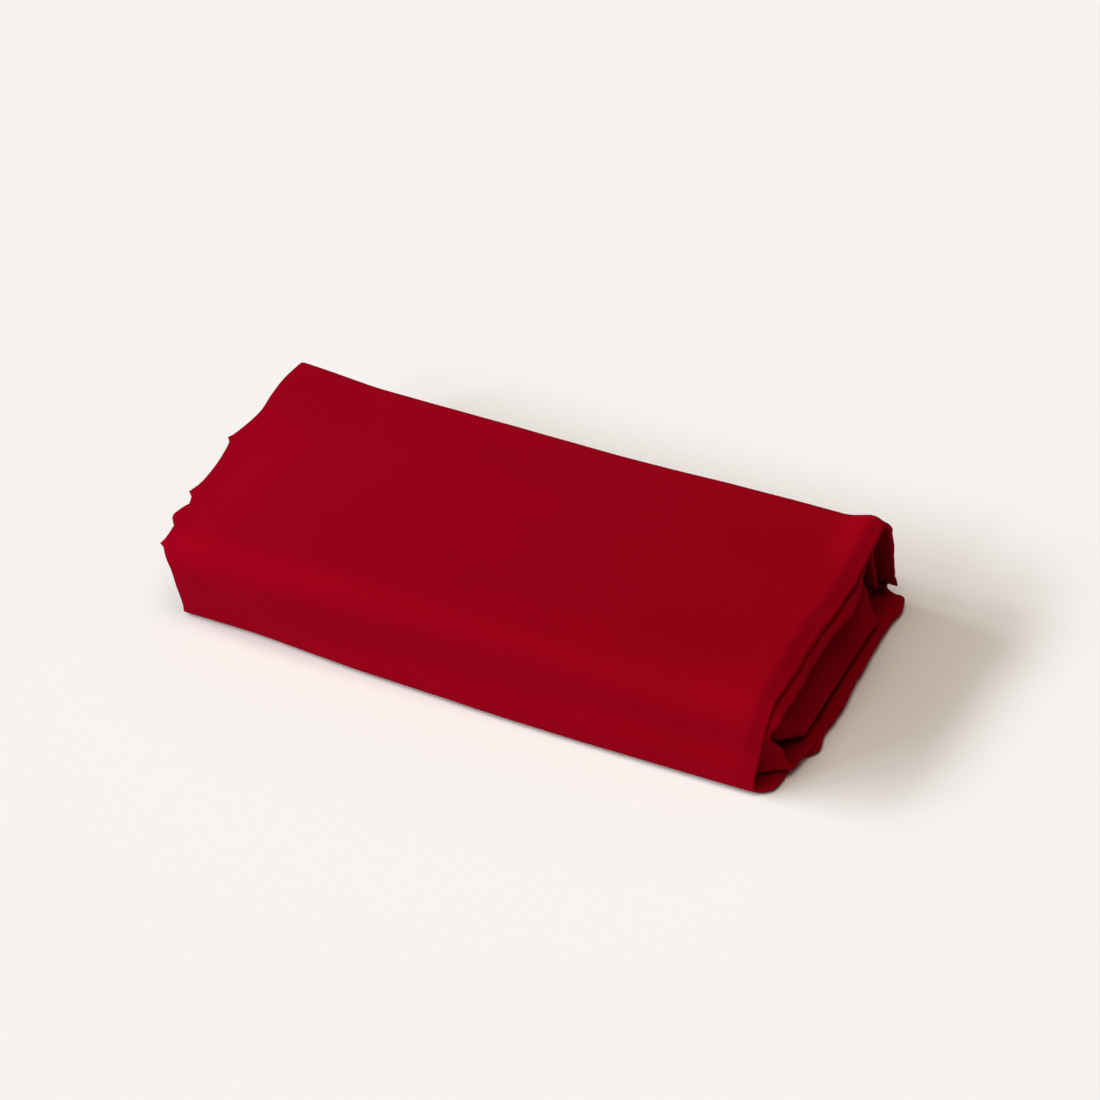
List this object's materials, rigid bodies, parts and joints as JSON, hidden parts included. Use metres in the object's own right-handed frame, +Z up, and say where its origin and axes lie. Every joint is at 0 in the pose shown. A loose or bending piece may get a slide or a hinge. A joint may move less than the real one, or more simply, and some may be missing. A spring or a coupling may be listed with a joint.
{
  "type": "fabric bolt",
  "caption": "Flat bolt of red cotton cloth, doubled and wound round a hidden corrugated board, lying on its side. The outer turn unrolls and the board slides out.",
  "frame": {"origin": "middle of the footprint, on the surface that the bolt lies on", "axes": "+X along the board to the closed centre folds, -Y to the front where the outer turn folds up and over, +Z up"},
  "size_m": [0.582, 0.282, 0.083],
  "materials": {
    "red_cotton": "plain weave, matt with a faint sheen",
    "kraft_liner": "matt kraft liner",
    "kraft_fluting": "matt corrugated medium"
  },
  "bodies": {
    "wound_cloth": {"outer_bottom": "red_cotton", "front_lower_fold": "red_cotton", "turn_1": "red_cotton", "turn_2": "red_cotton", "turn_3": "red_cotton", "board_pocket": "red_cotton"},
    "front_panel": {"outer_front": "red_cotton", "front_upper_fold": "red_cotton"},
    "top_panel": {"outer_top": "red_cotton", "back_upper_fold": "red_cotton"},
    "end_flap": {"loose_end": "red_cotton"},
    "board": {"board_outer_liner": "kraft_liner", "board_inner_liner": "kraft_liner", "board_upper_fluting": "kraft_fluting", "board_lower_fluting": "kraft_fluting", "board_front_fluting": "kraft_fluting", "board_back_fluting": "kraft_fluting", "board_left_end": "kraft_liner", "board_right_end": "kraft_liner"}
  },
  "joints": [
    {"name": "front_unroll", "type": "hinge", "parent": "wound_cloth", "child": "front_panel", "pos_m": [0, -0.13875, 0.00225], "axis": [1, 0, 0], "range_deg": [0, 90], "deforming": ["front_lower_fold"]},
    {"name": "top_unroll", "type": "hinge", "parent": "front_panel", "child": "top_panel", "pos_m": [0, -0.13875, 0.08075], "axis": [1, 0, 0], "range_deg": [0, 90], "deforming": ["front_upper_fold"]},
    {"name": "loose_end_lift", "type": "hinge", "parent": "top_panel", "child": "end_flap", "pos_m": [0, 0.13875, 0.08075], "axis": [1, 0, 0], "range_deg": [0, 90], "deforming": ["back_upper_fold"]},
    {"name": "board_slide", "type": "slide", "parent": "wound_cloth", "child": "board", "axis": [-1, 0, 0], "range_m": [0, 0.54]}
  ],
  "couplings": [
    {"joint": "top_unroll", "follows": "front_unroll", "ratio": 1}
  ]
}
